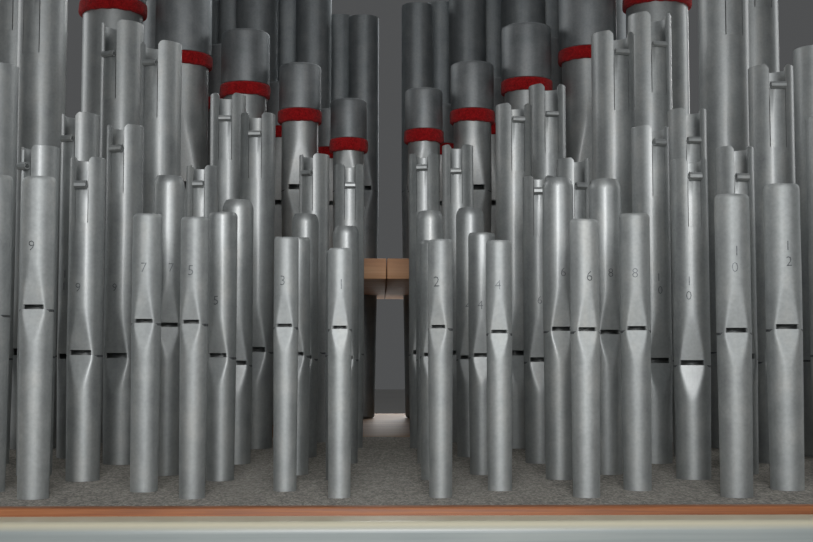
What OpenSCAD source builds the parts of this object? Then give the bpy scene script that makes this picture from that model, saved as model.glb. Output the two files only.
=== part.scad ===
// Treble end of an organ chest: six ranks of metal flue pipes in their rack boards.
// X runs along the chest, Y runs back from its front rail, Z runs up from the ground.
// The origin is the middle of the footprint, on the ground.

/* [Chest] */
// Distance of the chest's ends from the last columns of pipes
end_margin = 26; // [24:0.1:40]
// Depth of the front chest behind its last line of pipes
front_back_margin = 29; // [26:1:45]
// Depth of the rear chest behind its last line of pipes
rear_back_margin = 30; // [27:1:50]
// Height of the front chest under its toe board
chest_h = 50; // [40:1:80]
// How much higher the rear chest stands than the front one
rear_step = 98; // [70:1:130]
// Thickness of both toe boards
toe_board_t = 20; // [16:1:28]
// Width of the routed groove round the two chests
groove_w = 3; // [2:0.5:5]
// Depth of the routed groove
groove_depth = 2; // [1:0.5:4]

/* [Rack boards] */
// Clear height between a toe board and the rack board over it
rack_h = 85; // [70:1:100]
// Thickness of the front rack board's wooden core
rack_t = 12; // [10:1:16]
// Thickness of the grey felt on the front rack board
felt_t = 3; // [2:0.5:5]
// Width of the hardwood lipping along the front rack board
lipping_t = 5; // [4:0.5:7]
// Thickness of the rear rack boards
rear_rack_t = 11; // [9:1:15]
// How far the rear rack boards stand back from the rear chest's front face
rear_setback = 13; // [8:1:20]
// Joint between the two rear rack boards
rear_joint = 0.4; // [0.2:0.1:1]
// Gap all round a pipe foot in the wood of a rack board
rack_clear = 0.5; // [0.3:0.1:0.8]
// Gap all round a pipe foot in the felt
felt_clear = 0.15; // [0.1:0.05:0.3]

/* [Rack posts] */
// Diameter of a turned post between its collars
post_d = 8; // [6:0.5:9]
// Diameter of a post's two collars
collar_d = 11; // [10:0.5:12]
// Height of a collar
collar_h = 6; // [4:0.5:9]
// Distance of the outer posts from the chest's ends
post_inset = 8; // [7:0.5:9]
// Distance of the rear chest's inner posts from its middle
inner_post_x = 50; // [46:1:56]

/* [Front rail] */
// Thickness of the painted rail
rail_t = 16; // [12:1:24]
// How far the rail's top lies under the felt
rail_drop = 2; // [1:0.5:5]
// Radius of the rail's rounded top edges
rail_arris = 3; // [2:0.5:5]

/* [Columns] */
// Columns of pipes on each side of the centre gap
columns = 8; // [8:1:9]
// Half of the centre gap, to the first column
first_column_x = 15.2; // [14.5:0.1:18]
// Distance between the two columns of each of the first two pairs
column_pitch = 18.9; // [18:0.1:20]
// Distance between the two columns of each wider pair
wide_column_pitch = 21.9; // [20:0.1:23]
// Distance from one pair of columns to the next
pair_pitch = 45.9; // [44:0.1:46.5]
// How much further the pairs from the fourth on stand out
far_pair_add = 4.4; // [0:0.1:6]

/* [Pitch] */
// Speed of sound in mm a second
sound_speed = 343000; // [340000:500:346000]
// Unison frequency of the highest column, in hertz
top_hz = 1568; // [1500:1:1640]
// Semitones after which a pipe's diameter is doubled
halving_note = 17; // [16:0.5:19]
// How many diameters an open pipe sounds longer than it is
open_correction = 1.6667; // [1.5:0.05:1.8]
// How many diameters a stopped pipe sounds longer than it is
stop_correction = 1.2; // [0.8:0.05:1.4]
// Semitones by which the rear ranks start lower than the front ones
rear_first_note = 6; // [5:1:7]

/* [Twelfth rank] */
// Diameter of the smallest twelfth pipe
twelfth_d = 7.4; // [6.8:0.1:8]
// Distance of its front line from the chest's front edge
twelfth_y = 25; // [22:1:28]
// Distance between its front and back lines
twelfth_stagger = 18; // [16:1:20]
// Height of its mouths over the felt
twelfth_mouth_h = 52.5; // [46:0.5:58]

/* [Octave rank] */
// Diameter of the smallest octave pipe
octave_d = 8.9; // [8.2:0.1:9.5]
// Distance from the twelfth's front line back to the octave's
octave_step = 51; // [49:1:56]
// Distance between its front and back lines
octave_stagger = 18; // [16:1:22]
// Height of its mouths over the felt
octave_mouth_h = 43; // [38:0.5:48]
// Note from which its pipes are slotted
octave_slot_note = 8; // [6:1:16]

/* [Quint rank] */
// Diameter of the smallest quint pipe
quint_d = 10.6; // [9.8:0.1:11.2]
// Distance from the octave's front line back to the quint's
quint_step = 61; // [57:1:65]
// Distance between its front and back lines
quint_stagger = 29; // [26:1:32]
// Height of its mouths over the felt
quint_mouth_h = 41.5; // [37:0.5:47]
// Note from which its pipes are slotted
quint_slot_note = 5; // [4:1:16]

/* [Principal rank] */
// Diameter of the smallest principal pipe
principal_d = 13.9; // [13:0.1:14.4]
// Distance from the quint's front line back to the principal's
principal_step = 76; // [72:1:82]
// Distance between its front and back lines
principal_stagger = 38; // [35:1:40]
// Height of its mouths over the felt
principal_mouth_h = 42.5; // [37:0.5:48]

/* [Stopped rank] */
// Stopped pipes on each side
stopped_count = 9; // [5:1:9]
// Body diameter of the smallest stopped pipe
stopped_d = 18; // [16.5:0.1:18.4]
// Distance of its front line from the rear chest's front face
stopped_step = 67; // [60:1:75]
// Distance between its front and back lines
stopped_stagger = 75; // [70:1:78]
// Height of its mouths over the rear rack boards
stopped_mouth_h = 42.5; // [38:0.5:48]
// Distance of its first pipe from the centre
stopped_first_x = 22; // [20:0.5:23]
// Gap between neighbouring caps of one line
cap_gap = 4.8; // [3.5:0.1:5]
// Height that all caps have in common
cap_base = 3; // [1:0.5:6]
// What is added to a cap's height, in pipe diameters
cap_share = 1.12; // [1:0.01:1.2]
// Thickness of the red felt between a pipe and its cap
stop_felt_t = 0.9; // [0.7:0.1:1.4]
// How far the red felt shows under the cap
stop_felt_show = 7.5; // [5:0.5:9]
// How far the showing felt bulges past the cap
stop_felt_bulge = 0.6; // [0.3:0.1:0.9]
// Radius of a cap's top edge
cap_round = 1.8; // [1:0.1:2.2]

/* [Open rank] */
// Open pipes on each side of the tall rear rank
open_count = 8; // [5:1:8]
// Diameter of the smallest tall pipe
open_d = 21.5; // [20:0.1:21.9]
// Distance from the stopped rank's front line back to the open one's
open_step = 141; // [138:1:150]
// Distance between its front and back lines
open_stagger = 30; // [29:0.5:32]
// Height of its mouths over the rear rack boards
open_mouth_h = 61; // [54:0.5:68]
// Distance of its first pipe from the centre
open_first_x = 19; // [17.5:0.5:20]
// How far the open rank stands to the right of the middle
open_shift = 3.7; // [0:0.1:5]
// Gap between neighbouring pipes of one line
open_gap = 11; // [10:0.5:12]

/* [Pipe metal] */
// Thickness of the pipe metal
metal = 0.7; // [0.5:0.05:0.8]
// Thickness of a languid, the plate between foot and body
languid_t = 0.8; // [0.6:0.1:1.2]
// How far a languid's soldered edge stands proud
seam_proud = 0.12; // [0.05:0.01:0.2]
// Width of the wind slit between languid and lower lip
windway = 0.4; // [0.3:0.05:0.6]
// Width of a pressed lip at the mouth as a share of the pipe diameter
lip_share = 0.69; // [0.62:0.01:0.74]
// Width of the mouth's opening as a share of the lip's width
mouth_share = 0.9; // [0.8:0.01:0.92]
// Height of the mouth as a share of the pipe diameter
cut_up_share = 0.14; // [0.1:0.01:0.2]
// Height of the pressed upper lip in pipe diameters
upper_lip_share = 1.4; // [1.1:0.05:1.7]
// Height of the pressed lower lip in pipe diameters
lower_lip_share = 1; // [0.6:0.05:1.1]
// Diameter of a foot above its tip as a share of the pipe diameter
toe_share = 0.76; // [0.7:0.01:0.85]
// Clearance of a foot's tip in its countersink
seat_gap = 0.2; // [0.1:0.05:0.3]
// Greatest turn of a rear pipe's mouth away from the front, in degrees
mouth_turn = 8; // [0:1:12]

/* [Tuning] */
// Top radius of a cone-tuned pipe as a share of its radius
cone_share = 0.88; // [0.82:0.01:0.95]
// Height of the coned top in pipe diameters
cone_h_share = 0.25; // [0.15:0.01:0.35]
// Extra length of a slotted pipe over its sounding length
slot_extra = 3; // [1:0.5:5]
// Width of a tuning slot in pipe diameters
slot_share = 0.375; // [0.3:0.005:0.42]
// Length of a tuning slot in pipe diameters
slot_h_share = 1.9; // [1.6:0.05:2.2]
// Mean depth of the rolled tongue under the rim, in pipe diameters
roll_drop_share = 0.66; // [0.6:0.01:0.75]
// How much tuning varies that depth, in pipe diameters
roll_drop_spread = 0.2; // [0:0.01:0.25]
// Outer radius of the rolled tongue
roll_r = 1.4; // [1.3:0.05:1.7]
// Turns of metal in the roll
roll_turns = 1.6; // [1.3:0.1:1.7]
// Thickness of the rolled tongue
tongue_t = 0.35; // [0.3:0.05:0.4]
// Saw cut on each side of a tongue
tongue_gap = 0.15; // [0.1:0.05:0.25]
// How much the roll narrows on each side as it is wound
roll_shy = 0.12; // [0.05:0.01:0.2]

/* [Hidden] */
$fn = 48;
eps = 0.01;

// The chest's ends follow from the columns, and its depth from the ranks on it
chest_w = 2 * (column_x(columns - 1) + end_margin);
octave_y = twelfth_y + octave_step;
quint_y = octave_y + quint_step;
principal_y = quint_y + principal_step;
front_depth = principal_y + principal_stagger + front_back_margin;
stopped_y = front_depth + stopped_step;
open_y = stopped_y + open_step;
rear_depth = stopped_step + open_step + open_stagger + rear_back_margin;

// Places along Y and Z that several pieces share
total_depth = rail_t + front_depth + rear_depth;
front_y = rail_t - total_depth / 2;
rear_y = front_y + front_depth;
toe_z = chest_h + toe_board_t;
rack_z = toe_z + rack_h;
felt_z = rack_z + rack_t + felt_t;
rear_toe_z = toe_z + rear_step;
rear_rack_z = rear_toe_z + rack_h;
rear_top_z = rear_rack_z + rear_rack_t;
rail_h = felt_z - rail_drop;

// How many times the unison frequency each rank sounds
twelfth_harmonic = 3;
octave_harmonic = 2;
quint_harmonic = 1.5;
unison_harmonic = 1;

// A note that no rank reaches
never = 99;

// The front pipes were made, tuned and set by hand. For each note: how far the mouth stands
// off its rank's line, how far the top is off the rule, how far the pipe is turned to the
// right, and, where they aren't 0, how far its slot is turned from the mouth and how far the
// pipe stands out from its column. Octave notes 5, 6 and 7 are later pipes on longer feet.
twelfth_trims = [
    [-1.8, 1.8, 2, 0, 0.8], [-1.6, 2.6, -19], [-0.9, 2.5, -5.5], [-2.9, 1.7, -5.5, 0, 1.2],
    [-0.2, 2.4, -10.5], [-2.5, 2.2, 3.5, 0, -0.8], [0.4, 0.4, -3.5, 0, -0.7],
    [-1.9, 0.8, -5.5], [4.2, 0.9, -1, 0, 2.5], [-2.9, 0.5, -4.5], [3, -0.5, -8],
    [-1.5, -1.1, -5.5], [-2, -1, 4], [-0.5, -1.5, -3], [-1.5, -2, -7], [-2.5, -1.5, 5],
    [-1, -1, 0], [-2, -2, 3]
];
octave_trims = [
    [-0.5, -2.2, 3, 0, 3.1], [-1, -0.9, -10.5], [-0.8, -1.2, -4.5], [-1.3, -1.8, -5],
    [-1.3, 0.3, -12, 0, -1.8], [7.9, 0.3, 4.5, 0, -1.3], [9.6, -1.9, 13.5, 0, 1.4],
    [7, -4, 7.5], [-0.5, 0.8, -5.5], [-4.1, 0.3, -14.5, 16.5], [-1, -0.6, -8, -27.5],
    [-2, -3.7, 3], [-1.5, 0, -6], [-0.5, -8, 8], [-2, 0, -12], [-1, -6, 4], [-1.5, 0, -5],
    [-1, -5, 6]
];
quint_trims = [
    [-1, -0.7, -5, 0, 2.2], [-1, 1.8, -12, 0, 1.4], [-1, 0, -4, 0, 1.6],
    [-1.2, -1.1, -10, 0, 1], [-3.2, -3.8, 6], [-2, -2.8, -5], [-1.5, 0, -5], [-2, -1, 15.5],
    [-0.5, 0.2, -13], [-2.5, -3.3, 14.5], [-1, -1.1, -24, 0, 3.5], [-1.5, -4.1, 4, 0, 1],
    [-0.5, -1, -22, 0, 2.2], [-2, -6, -1], [-1, -2, -10, 0, 8], [-1.5, -7.6, 8, 0, 8.2],
    [-1, 0, -6], [-2, -6, 5]
];
principal_trims = [
    [0, 0, 3.5, 0, 2.8], [-0.3, -0.3, -10, 0, 2], [0.5, -1.1, -24, 0, 2.5],
    [-0.7, -1.2, -9, 0, 1.4], [0.8, -1.2, -4], [-0.8, -1.9, 8, 0, -1.5], [0.7, 1.5, -2.5],
    [-0.5, 0, 6, 0, 0.9], [0.3, 1.5, -19.5], [0, -1.3, 13], [-0.3, 3.4, -26, 0, 4.5],
    [0.5, -1.6, 13, 0, 4.5], [-0.7, -0.6, -12, 0, 5.6], [0.8, -1.5, 10, 0, 3],
    [-0.8, 0, -15, 0, 7], [0.7, 1.5, 10, 0, 7], [-0.5, 0.8, -8], [0.3, -1.1, 6]
];
// How far the top of each rear pipe is off the rule, note by note
stopped_trims = [
    -1.7, 0.9, -0.4, -1.1, 2.4, -1, -1.9, -3.7, 0.7, -0.9, -1.5, -3, -3.7, -5.9, -2.5, -4,
    -1.1, -3
];
open_trims = [
    5.3, 6.4, -2.1, -1, 0, 0, 0, 0, 0, 0, 0, 0, 0, 0, 0, 0, 0, 0
];

sides = [-1, 1];

// A pipe is [x, y, mouth height, diameter, body length, turn, foot length, slotted, drop,
// slot turn], where drop is how far its rolled tongue lies under the rim
function side_note(side) = (side + 1) / 2;
function diameter(top_d, note) = top_d * pow(2, note / halving_note);
function half_wave(harmonic, note) = sound_speed / (2 * top_hz * harmonic) * pow(2, note / 12);
function turn(rank, note) = mouth_turn * sin(137.5 * note + 71 * rank);
function column_x(k) =
    first_column_x + floor(k / 2) * pair_pitch + (k < 6 ? 0 : far_pair_add)
        + (k % 2) * (k < 4 ? column_pitch : wide_column_pitch);
function given(value) = is_undef(value) ? 0 : value;
function roll_drop(rank, note, d) =
    d * (roll_drop_share + roll_drop_spread * sin(97 * note + 40 * rank));

function front_rank(rank, harmonic, top_d, y, stagger, mouth_h, slot_note, trims) = [
    for (side = sides, k = [0 : columns - 1])
        let (
            note = 2 * k + side_note(side),
            d = diameter(top_d, note),
            slotted = note >= slot_note,
            trim = trims[note],
            rise = mouth_h + trim[0],
            sounding = half_wave(harmonic, note) - open_correction * d + trim[1]
        )
        [
            side * (column_x(k) + given(trim[4])), front_y + y + (k % 2) * stagger, felt_z + rise, d,
            sounding + (slotted ? slot_extra : 0), trim[2],
            felt_z + rise - toe_z, slotted, roll_drop(rank, note, d),
            given(trim[3])
        ]
];

// The rear ranks' lines are set out by their diameters, the same on both sides
function rear_d(top_d, side, j) = diameter(top_d, 2 * j + side_note(side));
function line_x(first, top_d, add, gap, i) =
    i == 0 ? first
    : line_x(first, top_d, add, gap, i - 1) + gap + add
        + (rear_d(top_d, 1, 2 * i - 2) + rear_d(top_d, 1, 2 * i)) / 2;
function rear_x(first, top_d, add, gap, j) =
    (line_x(first, top_d, add, gap, floor(j / 2)) + line_x(first, top_d, add, gap, ceil(j / 2))) / 2;

function rear_rank(rank, count, top_d, add, first, gap, y, stagger, mouth_h, stopped, trims, shift) = [
    for (side = sides, j = [0 : count - 1])
        let (
            d = rear_d(top_d, side, j),
            wave = half_wave(unison_harmonic, rear_first_note + 2 * j + side_note(side)),
            rule = stopped ? wave / 2 - stop_correction * d : wave - open_correction * d,
            length = rule + trims[2 * j + side_note(side)]
        )
        [
            side * rear_x(first, top_d, add, gap, j) + shift, front_y + y + (j % 2) * stagger,
            rear_top_z + mouth_h, d, length, turn(rank, 2 * j + side),
            rear_top_z + mouth_h - rear_toe_z, false, 0, 0
        ]
];

twelfth = front_rank(1, twelfth_harmonic, twelfth_d, twelfth_y, twelfth_stagger,
    twelfth_mouth_h, never, twelfth_trims);
octave = front_rank(2, octave_harmonic, octave_d, octave_y, octave_stagger,
    octave_mouth_h, octave_slot_note, octave_trims);
quint = front_rank(3, quint_harmonic, quint_d, quint_y, quint_stagger,
    quint_mouth_h, quint_slot_note, quint_trims);
principal = front_rank(4, unison_harmonic, principal_d, principal_y, principal_stagger,
    principal_mouth_h, 0, principal_trims);
cap_add = 2 * (stop_felt_t + metal);
stopped = rear_rank(5, stopped_count, stopped_d, cap_add, stopped_first_x, cap_gap,
    stopped_y, stopped_stagger, stopped_mouth_h, true, stopped_trims, 0);
tall = rear_rank(6, open_count, open_d, 0, open_first_x, open_gap,
    open_y, open_stagger, open_mouth_h, false, open_trims, open_shift);
front_pipes = concat(twelfth, octave, quint, principal);
rear_pipes = concat(stopped, tall);

// Parts of one pipe that follow from its diameter and foot length
function lip_depth(d) = d / 2 * (1 - sqrt(1 - lip_share * lip_share));
function mouth_w(d) = d * lip_share * mouth_share;
function toe_r(d) = d / 2 * toe_share;
function foot_r(d, foot, down) = d / 2 - (d / 2 - toe_r(d)) * down / foot;
tip_share = 0.5;
seat_share = 0.8;
bore_share = 0.35;
function tip_h(d) = toe_r(d) * (1 - tip_share);
function seat_depth(d) = toe_r(d) * (seat_share - tip_share);

// Stands its children at a pipe's mouth, turned as the pipe is
module at_mouth(pipe)
    translate([pipe[0], pipe[1], pipe[2]]) rotate([0, 0, pipe[5]]) children();

// Solid of one pressed lip: what lies in front of a sloping plane
module lip_cut(d, depth, height, over, inset) {
    r = d / 2;
    rotate([90, 0, 90])
        linear_extrude(2 * d, center = true)
            polygon([
                [-(r - depth) + inset, -over], [-(r - depth) + inset, 0],
                [-r + inset, height], [-2 * r, height], [-2 * r, -over]
            ]);
}

// Turned outline of a foot, drawn inwards by one thickness for its hollow
module foot_solid(d, foot, inset) {
    down = foot + seat_depth(d);
    r_toe = toe_r(d);
    end = inset > 0 ? eps : 0;
    rotate_extrude()
        polygon([
            [0, languid_t + end], [d / 2 - inset, languid_t + end], [d / 2 - inset, 0],
            [r_toe - inset, tip_h(d) - down], [r_toe * tip_share - inset * 0.6, -down - end],
            [0, -down - end]
        ]);
}

module pipe_foot(pipe) {
    d = pipe[3];
    depth = lip_depth(d);
    lip_h = d * lower_lip_share;
    at_mouth(pipe)
        difference() {
            foot_solid(d, pipe[6], 0);
            mirror([0, 0, 1]) lip_cut(d, depth, lip_h, 2 * languid_t, 0);
            difference() {
                foot_solid(d, pipe[6], metal);
                mirror([0, 0, 1]) lip_cut(d, depth, lip_h, 3 * languid_t, metal);
            }
            translate([-d, metal + depth - d / 2, 0]) cube([2 * d, 2 * d, 2 * languid_t]);
        }
}

module pipe_languid(pipe) {
    d = pipe[3];
    edge = d / 2 - lip_depth(d) - metal - windway;
    at_mouth(pipe)
        difference() {
            cylinder(h = languid_t, r = d / 2 + seam_proud);
            translate([-d, -2 * d - edge, -eps]) cube([2 * d, 2 * d, 2 * languid_t]);
        }
}

// Turned outline of a body, with its top drawn in when it is cone-tuned
module body_solid(d, length, coned, inset) {
    r = d / 2 - inset;
    shoulder = coned ? d * cone_h_share : 0;
    top_r = coned ? d / 2 * cone_share - inset : r;
    end = inset > 0 ? eps : 0;
    rotate_extrude()
        polygon([
            [0, -end], [r, -end], [r, length - shoulder], [top_r, length + end],
            [0, length + end]
        ]);
}

module pipe_body(pipe, coned) {
    d = pipe[3];
    depth = lip_depth(d);
    lip_h = d * upper_lip_share;
    length = pipe[4] - languid_t;
    translate([0, 0, languid_t])
        at_mouth(pipe)
            difference() {
                body_solid(d, length, coned, 0);
                lip_cut(d, depth, lip_h, 1, 0);
                difference() {
                    body_solid(d, length, coned, metal);
                    lip_cut(d, depth, lip_h, 1, metal);
                }
                translate([-mouth_w(d) / 2, -d, -1]) cube([mouth_w(d), d, d * cut_up_share + 1]);
                if (pipe[7])
                    rotate([0, 0, pipe[9]])
                        translate([-d * slot_share / 2, -d, length - d * slot_h_share])
                            cube([d * slot_share, d, d * slot_h_share + 1]);
            }
}

// Points of a strip wound into a roll, from its outer end inwards
roll_steps = 9;
function roll_point(i, side) =
    let (
        angle = 360 * i / roll_steps,
        r = roll_r - side * tongue_t - (tongue_t + tongue_gap) * i / roll_steps
    )
    [r * cos(angle), r * sin(angle)];

module roll_section() {
    last = floor(roll_turns * roll_steps);
    polygon(concat(
        [for (i = [0 : last]) roll_point(i, 0)],
        [for (i = [last : -1 : 0]) roll_point(i, 1)]
    ));
}

// A tongue stays in the wall up to its roll, which lies just outside the wall
module pipe_tongue(pipe) {
    d = pipe[3];
    width = d * slot_share - 2 * tongue_gap;
    flat_y = sqrt(d * d / 4 - width * width / 4);
    top = pipe[4] - pipe[8];
    bottom = pipe[4] - d * slot_h_share;
    at_mouth(pipe) rotate([0, 0, pipe[9]]) {
        translate([0, 0, bottom])
            intersection() {
                difference() {
                    cylinder(h = top - bottom, r = d / 2);
                    translate([0, 0, -1])
                        cylinder(h = top - bottom + 2, r = d / 2 - metal);
                }
                translate([-width / 2, -d, -1]) cube([width, d, top - bottom + 2]);
            }
        translate([0, tongue_t / 2 - flat_y - roll_r, top - tongue_t])
            rotate([90, 0, 90])
                linear_extrude(width - 2 * roll_shy, center = true) roll_section();
    }
}

function cap_height(d) = cap_base + d * cap_share;

module pipe_stop_felt(pipe) {
    d = pipe[3];
    r_in = d / 2;
    r_out = r_in + stop_felt_t;
    cap_h = cap_height(d);
    bottom = pipe[4] - cap_h - stop_felt_show;
    show_r = r_out + metal + stop_felt_bulge;
    at_mouth(pipe)
        translate([0, 0, bottom])
            rotate_extrude()
                polygon([
                    [r_in, 0], [show_r - 0.8, 0], [show_r, 0.8], [show_r, stop_felt_show - 0.8],
                    [show_r - 0.8, stop_felt_show], [r_out, stop_felt_show],
                    [r_out, stop_felt_show + cap_h * 0.45], [r_in, stop_felt_show + cap_h * 0.45]
                ]);
}

// The cap is a drawn cup with a rounded top edge
module cap_outline(r, h, round_r) {
    square([r, h - round_r]);
    square([r - round_r, h]);
    translate([r - round_r, h - round_r]) circle(round_r);
}

module pipe_cap(pipe) {
    d = pipe[3];
    r_in = d / 2 + stop_felt_t;
    cap_h = cap_height(d);
    at_mouth(pipe)
        translate([0, 0, pipe[4] - cap_h])
            rotate_extrude()
                intersection() {
                    square([d, cap_h + 1]);
                    difference() {
                        cap_outline(r_in + metal, cap_h, cap_round);
                        translate([-1, -1]) square([r_in + 1, cap_h + 1 - metal]);
                    }
                }
}

// The stopped pipe's body ends under its cap
function stopped_body(pipe) = [
    pipe[0], pipe[1], pipe[2], pipe[3], pipe[4] - cap_height(pipe[3]) * 0.4,
    pipe[5], pipe[6], false, 0, 0
];

module feet(pipes) for (pipe = pipes) pipe_foot(pipe);
module languids(pipes) for (pipe = pipes) pipe_languid(pipe);
module bodies(pipes, coned) for (pipe = pipes) pipe_body(pipe, coned && !pipe[7]);
module tongues(pipes) for (pipe = pipes) if (pipe[7]) pipe_tongue(pipe);

// A closed chest with a routed groove under its top edge
module chest_box(depth, height) {
    difference() {
        translate([-chest_w / 2, 0, 0]) cube([chest_w, depth, height]);
        for (side = sides)
            translate([side * chest_w / 2 - groove_depth, -1, height - 5 * groove_w])
                cube([2 * groove_depth, depth + 2, groove_w]);
    }
}

module toe_holes(pipes, top_z) {
    for (pipe = pipes) {
        d = pipe[3];
        cone_h = seat_depth(d) + seat_gap;
        translate([pipe[0], pipe[1], top_z - cone_h])
            cylinder(h = cone_h + eps, r1 = toe_r(d) * tip_share,
                r2 = toe_r(d) * seat_share + seat_gap + eps);
        translate([pipe[0], pipe[1], top_z - 2 * toe_board_t])
            cylinder(h = 2 * toe_board_t, r = toe_r(d) * bore_share);
    }
}

// Holes through a board, as wide as each foot is at the board's upper face
module foot_holes(pipes, top_z, clear) {
    for (pipe = pipes)
        translate([pipe[0], pipe[1], 0])
            cylinder(h = 2 * top_z, r = foot_r(pipe[3], pipe[6], pipe[2] - top_z) + clear);
}

module rack_post() {
    rotate_extrude()
        polygon([
            [0, 0], [collar_d / 2, 0], [collar_d / 2, collar_h],
            [post_d / 2, collar_h + (collar_d - post_d) / 2],
            [post_d / 2, rack_h - collar_h - (collar_d - post_d) / 2],
            [collar_d / 2, rack_h - collar_h], [collar_d / 2, rack_h], [0, rack_h]
        ]);
}

// Posts stand between two lines of pipes; the rear ones keep clear of the centre gap
outer_post_x = chest_w / 2 - post_inset;
front_posts = [
    for (y = [(twelfth_y + twelfth_stagger + octave_y) / 2,
        (quint_y + quint_stagger + principal_y) / 2], x = [-outer_post_x, 0, outer_post_x])
        [x, front_y + y, toe_z]
];
rear_posts = concat(
    [for (y = [stopped_y + stopped_stagger / 2, (stopped_y + stopped_stagger + open_y) / 2],
        x = [outer_post_x, inner_post_x], side = sides) [side * x, front_y + y, rear_toe_z]],
    [for (side = sides) [side * outer_post_x, front_y + open_y + open_stagger, rear_toe_z]]
);

module chest_front() {
    color("burlywood") translate([0, front_y, 0]) chest_box(front_depth, chest_h);
}

module chest_rear() {
    color("burlywood") translate([0, rear_y, 0]) chest_box(rear_depth, chest_h + rear_step);
}

module toe_board_front() {
    color("peru")
        difference() {
            translate([-chest_w / 2, front_y, chest_h])
                cube([chest_w, front_depth, toe_board_t]);
            toe_holes(front_pipes, toe_z);
        }
}

module toe_board_rear() {
    color("peru")
        difference() {
            translate([-chest_w / 2, rear_y, rear_toe_z - toe_board_t])
                cube([chest_w, rear_depth, toe_board_t]);
            toe_holes(rear_pipes, rear_toe_z);
        }
}

module rack_posts_front() { color("tan") for (place = front_posts) translate(place) rack_post(); }
module rack_posts_rear() { color("tan") for (place = rear_posts) translate(place) rack_post(); }

module rack_board_front() {
    color("sienna")
        difference() {
            translate([-chest_w / 2, front_y + lipping_t, rack_z])
                cube([chest_w, front_depth - lipping_t, rack_t]);
            foot_holes(front_pipes, felt_z, rack_clear);
        }
}

module rack_lipping() {
    color("saddlebrown")
        translate([-chest_w / 2, front_y, rack_z]) cube([chest_w, lipping_t, rack_t + felt_t]);
}

module rack_felt() {
    color("gray")
        difference() {
            translate([-chest_w / 2, front_y + lipping_t, rack_z + rack_t])
                cube([chest_w, front_depth - lipping_t, felt_t]);
            foot_holes(front_pipes, felt_z, felt_clear);
        }
}

module rear_board(side) {
    board_w = (chest_w - rear_joint) / 2;
    difference() {
        translate([side * (chest_w - board_w) / 2 - board_w / 2, rear_y + rear_setback, rear_rack_z])
            cube([board_w, rear_depth - rear_setback, rear_rack_t]);
        foot_holes([for (pipe = rear_pipes) if (pipe[0] * side > 0) pipe], rear_top_z, rack_clear);
    }
}
module rack_board_rear_left() { color("wheat") rear_board(-1); }
module rack_board_rear_right() { color("wheat") rear_board(1); }

// The rail stands on the ground before the front chest
module front_rail() {
    color("gainsboro")
        translate([0, front_y - rail_t, 0])
            rotate([90, 0, 90])
                linear_extrude(chest_w, center = true) {
                    square([rail_t, rail_h - rail_arris]);
                    translate([rail_arris, 0]) square([rail_t - 2 * rail_arris, rail_h]);
                    for (y = [rail_arris, rail_t - rail_arris])
                        translate([y, rail_h - rail_arris]) circle(rail_arris);
                }
}

module twelfth_feet() { color("silver") feet(twelfth); }
module twelfth_languids() { color("darkgray") languids(twelfth); }
module twelfth_bodies() { color("silver") bodies(twelfth, true); }

module octave_feet() { color("silver") feet(octave); }
module octave_languids() { color("darkgray") languids(octave); }
module octave_bodies() { color("silver") bodies(octave, true); }
module octave_tongues() { color("lightgray") tongues(octave); }

module quint_feet() { color("silver") feet(quint); }
module quint_languids() { color("darkgray") languids(quint); }
module quint_bodies() { color("silver") bodies(quint, true); }
module quint_tongues() { color("lightgray") tongues(quint); }

module principal_feet() { color("silver") feet(principal); }
module principal_languids() { color("darkgray") languids(principal); }
module principal_bodies() { color("silver") bodies(principal, false); }
module principal_tongues() { color("lightgray") tongues(principal); }

module stopped_feet() { color("silver") feet(stopped); }
module stopped_languids() { color("darkgray") languids(stopped); }
module stopped_bodies() {
    color("silver") bodies([for (pipe = stopped) stopped_body(pipe)], false);
}
module stopped_felts() { color("crimson") for (pipe = stopped) pipe_stop_felt(pipe); }
module stopped_caps() { color("lightsteelblue") for (pipe = stopped) pipe_cap(pipe); }

module open_feet() { color("silver") feet(tall); }
module open_languids() { color("darkgray") languids(tall); }
module open_bodies() { color("silver") bodies(tall, false); }

chest_front();
chest_rear();
toe_board_front();
toe_board_rear();
rack_posts_front();
rack_posts_rear();
rack_board_front();
rack_lipping();
rack_felt();
rack_board_rear_left();
rack_board_rear_right();
front_rail();
twelfth_feet();
twelfth_languids();
twelfth_bodies();
octave_feet();
octave_languids();
octave_bodies();
octave_tongues();
quint_feet();
quint_languids();
quint_bodies();
quint_tongues();
principal_feet();
principal_languids();
principal_bodies();
principal_tongues();
stopped_feet();
stopped_languids();
stopped_bodies();
stopped_felts();
stopped_caps();
open_feet();
open_languids();
open_bodies();
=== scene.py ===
import bpy, bmesh, math
from mathutils import Matrix, Vector, noise


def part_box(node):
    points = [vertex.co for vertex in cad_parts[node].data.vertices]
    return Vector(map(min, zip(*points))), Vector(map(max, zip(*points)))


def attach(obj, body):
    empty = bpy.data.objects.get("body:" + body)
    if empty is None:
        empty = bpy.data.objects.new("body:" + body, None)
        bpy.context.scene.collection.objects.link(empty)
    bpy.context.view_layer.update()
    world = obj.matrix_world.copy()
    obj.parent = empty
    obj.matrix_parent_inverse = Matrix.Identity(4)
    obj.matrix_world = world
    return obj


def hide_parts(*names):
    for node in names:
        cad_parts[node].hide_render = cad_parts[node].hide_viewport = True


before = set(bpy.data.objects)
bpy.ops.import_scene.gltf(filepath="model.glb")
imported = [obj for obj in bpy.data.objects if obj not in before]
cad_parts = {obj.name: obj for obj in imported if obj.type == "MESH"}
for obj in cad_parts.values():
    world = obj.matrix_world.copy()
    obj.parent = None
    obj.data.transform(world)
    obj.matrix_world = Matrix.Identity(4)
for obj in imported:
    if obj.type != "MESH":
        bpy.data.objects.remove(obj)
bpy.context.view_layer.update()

mm = 0.001
print("organ: frame loaded")

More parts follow.
